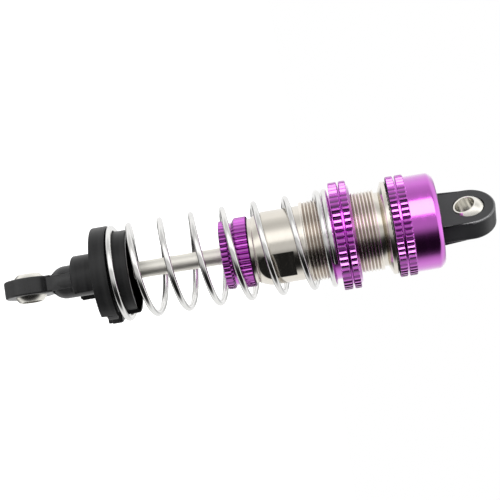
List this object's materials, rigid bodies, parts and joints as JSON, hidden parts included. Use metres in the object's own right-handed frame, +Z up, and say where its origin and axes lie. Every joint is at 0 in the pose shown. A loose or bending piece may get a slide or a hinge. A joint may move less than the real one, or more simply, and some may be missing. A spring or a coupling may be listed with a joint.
{
  "type": "coilover shock absorber",
  "caption": "Small oil-filled coilover shock with purple anodised cap, collar and seal cap, threaded nickel body, bright spring, and a pivot ball in a black plastic eye at each end.",
  "frame": {"origin": "centre of the upper pivot ball", "axes": "+Z up the damper's axis towards the upper eye; the upper eye's screw hole lies along Y"},
  "size_m": [0.0222, 0.0222, 0.1025],
  "materials": {
    "nickel_ball": "nickel plated",
    "nickel_ball_lower": "nickel plated",
    "eyelet_plastic": "satin",
    "cap_anodised": "anodised purple, bright",
    "bladder_rubber": "matte",
    "body_nickel": "nickel plated, bright",
    "collar_anodised": "anodised purple, bright",
    "friction_rubber": "matte",
    "spring_steel": "bright drawn wire",
    "seal_cap_anodised": "anodised purple, bright",
    "bushing_plastic": "satin",
    "lower_seal_rubber": "matte",
    "spacer_plastic": "satin",
    "upper_seal_rubber": "matte",
    "shaft_steel": "polished",
    "piston_plastic": "satin",
    "lower_clip_steel": "bright",
    "upper_clip_steel": "bright",
    "retainer_plastic": "semi-gloss",
    "rod_end_plastic": "semi-gloss"
  },
  "bodies": {
    "barrel": {"shock_body": "body_nickel", "top_cap": "cap_anodised", "bladder": "bladder_rubber", "upper_eyelet": "eyelet_plastic", "seal_cap": "seal_cap_anodised", "shaft_bushing": "bushing_plastic", "lower_seal": "lower_seal_rubber", "seal_spacer": "spacer_plastic", "upper_seal": "upper_seal_rubber"},
    "upper_ball": {"upper_pivot_ball": "nickel_ball"},
    "coil": {"spring": "spring_steel"},
    "collar": {"preload_collar": "collar_anodised", "collar_friction_ring": "friction_rubber"},
    "perch": {"spring_retainer": "retainer_plastic"},
    "rod": {"shaft": "shaft_steel", "piston": "piston_plastic", "lower_clip": "lower_clip_steel", "upper_clip": "upper_clip_steel", "rod_end": "rod_end_plastic"},
    "lower_ball": {"lower_pivot_ball": "nickel_ball_lower"}
  },
  "joints": [
    {"name": "upper_ball_tilt", "type": "hinge", "parent": "barrel", "child": "upper_ball", "pos_m": [0, 0, 0], "axis": [1, 0, 0], "range_deg": [-41, 9]},
    {"name": "preload_travel", "type": "slide", "parent": "barrel", "child": "coil", "axis": [0, 0, 1], "range_m": [-0.004, 0.0045], "deforming": ["spring"]},
    {"name": "collar_turn", "type": "hinge", "parent": "coil", "child": "collar", "pos_m": [0, 0, 0], "axis": [0, 0, 1], "range_deg": [-2070, 2325]},
    {"name": "shaft_travel", "type": "slide", "parent": "barrel", "child": "perch", "axis": [0, 0, 1], "range_m": [0, 0.018], "stiffness_N_per_m": 500, "springref_m": -0.003, "deforming": ["spring"]},
    {"name": "shaft_spin", "type": "hinge", "parent": "perch", "child": "rod", "pos_m": [0, 0, 0], "axis": [0, 0, 1], "continuous": true},
    {"name": "lower_ball_turn", "type": "hinge", "parent": "rod", "child": "lower_ball", "pos_m": [0, 0, -0.09185], "axis": [0, 0, 1], "range_deg": [-25, 25]}
  ],
  "couplings": [
    {"joint": "collar_turn", "follows": "preload_travel", "rad_per_m": 8976}
  ]
}
